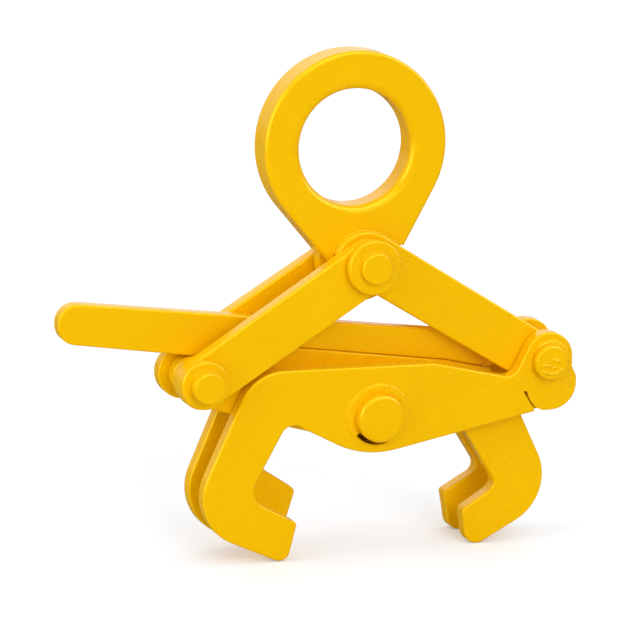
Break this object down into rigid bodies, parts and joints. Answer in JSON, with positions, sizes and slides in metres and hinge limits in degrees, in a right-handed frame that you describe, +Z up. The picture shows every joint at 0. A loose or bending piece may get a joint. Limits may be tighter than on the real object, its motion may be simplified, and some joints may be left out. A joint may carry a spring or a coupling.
{
  "type": "rail lifting clamp",
  "caption": "Scissor clamp of yellow steel plate that hooks under a rail's head: crossed jaws on a centre pin, links to a lifting eye, and a flat carrying handle.",
  "frame": {"origin": "centre of the lifting eye's bore", "axes": "+Y along the bore and all the pins, away from the front; +Z up; +X to the right"},
  "size_m": [0.3088, 0.0776, 0.2924],
  "materials": {
    "eye_paint": "semi-gloss golden yellow paint",
    "link_paint": "semi-gloss golden yellow paint",
    "jaw_paint": "semi-gloss golden yellow paint",
    "handle_paint": "semi-gloss golden yellow paint",
    "pin_paint": "semi-gloss golden yellow paint",
    "weld_paint": "semi-gloss golden yellow paint"
  },
  "bodies": {
    "eye": {"lifting_eye": "eye_paint"},
    "head": {"top_pin": "pin_paint", "top_washer_front": "pin_paint", "top_washer_rear": "pin_paint", "top_weld_front": "weld_paint", "top_weld_rear": "weld_paint"},
    "left_links": {"left_link_front": "link_paint", "left_link_rear": "link_paint"},
    "right_links": {"right_link_front": "link_paint", "right_link_rear": "link_paint"},
    "right_jaws": {"right_jaw_front": "jaw_paint", "right_jaw_rear": "jaw_paint", "handle_plate": "handle_paint", "handle_bar": "handle_paint", "left_pin": "pin_paint", "left_washer_front": "pin_paint", "left_spacer": "pin_paint", "left_weld_front": "weld_paint", "left_weld_rear": "weld_paint"},
    "left_jaws": {"left_jaw_front": "jaw_paint", "left_jaw_rear": "jaw_paint", "centre_pin": "pin_paint", "centre_weld_front": "weld_paint", "centre_weld_rear": "weld_paint", "centre_collar": "pin_paint", "right_pin": "pin_paint", "right_weld_front": "weld_paint", "right_weld_rear": "weld_paint", "right_washer_rear": "pin_paint", "right_spacer": "pin_paint"}
  },
  "joints": [
    {"name": "eye_swing", "type": "hinge", "parent": "eye", "child": "head", "pos_m": [0.00607, 0, -0.06584], "axis": [0, -1, 0], "range_deg": [-2, 2]},
    {"name": "left_link_turn", "type": "hinge", "parent": "head", "child": "left_links", "pos_m": [0.00607, 0, -0.06584], "axis": [0, -1, 0], "range_deg": [0, 15.7]},
    {"name": "right_link_turn", "type": "hinge", "parent": "head", "child": "right_links", "pos_m": [0.00607, 0, -0.06584], "axis": [0, 1, 0], "range_deg": [0, 14.1]},
    {"name": "right_jaw_fold", "type": "hinge", "parent": "left_links", "child": "right_jaws", "pos_m": [-0.09337, 0, -0.1297], "axis": [0, 1, 0], "range_deg": [0, 40.4]},
    {"name": "left_jaw_fold", "type": "hinge", "parent": "right_links", "child": "left_jaws", "pos_m": [0.1188, 0, -0.12543], "axis": [0, -1, 0], "range_deg": [0, 38.4]}
  ],
  "couplings": [
    {"joint": "right_link_turn", "follows": "left_link_turn", "ratio": 0.8726},
    {"joint": "right_jaw_fold", "follows": "left_link_turn", "ratio": 2.5329},
    {"joint": "left_jaw_fold", "follows": "left_link_turn", "ratio": 2.4053}
  ]
}
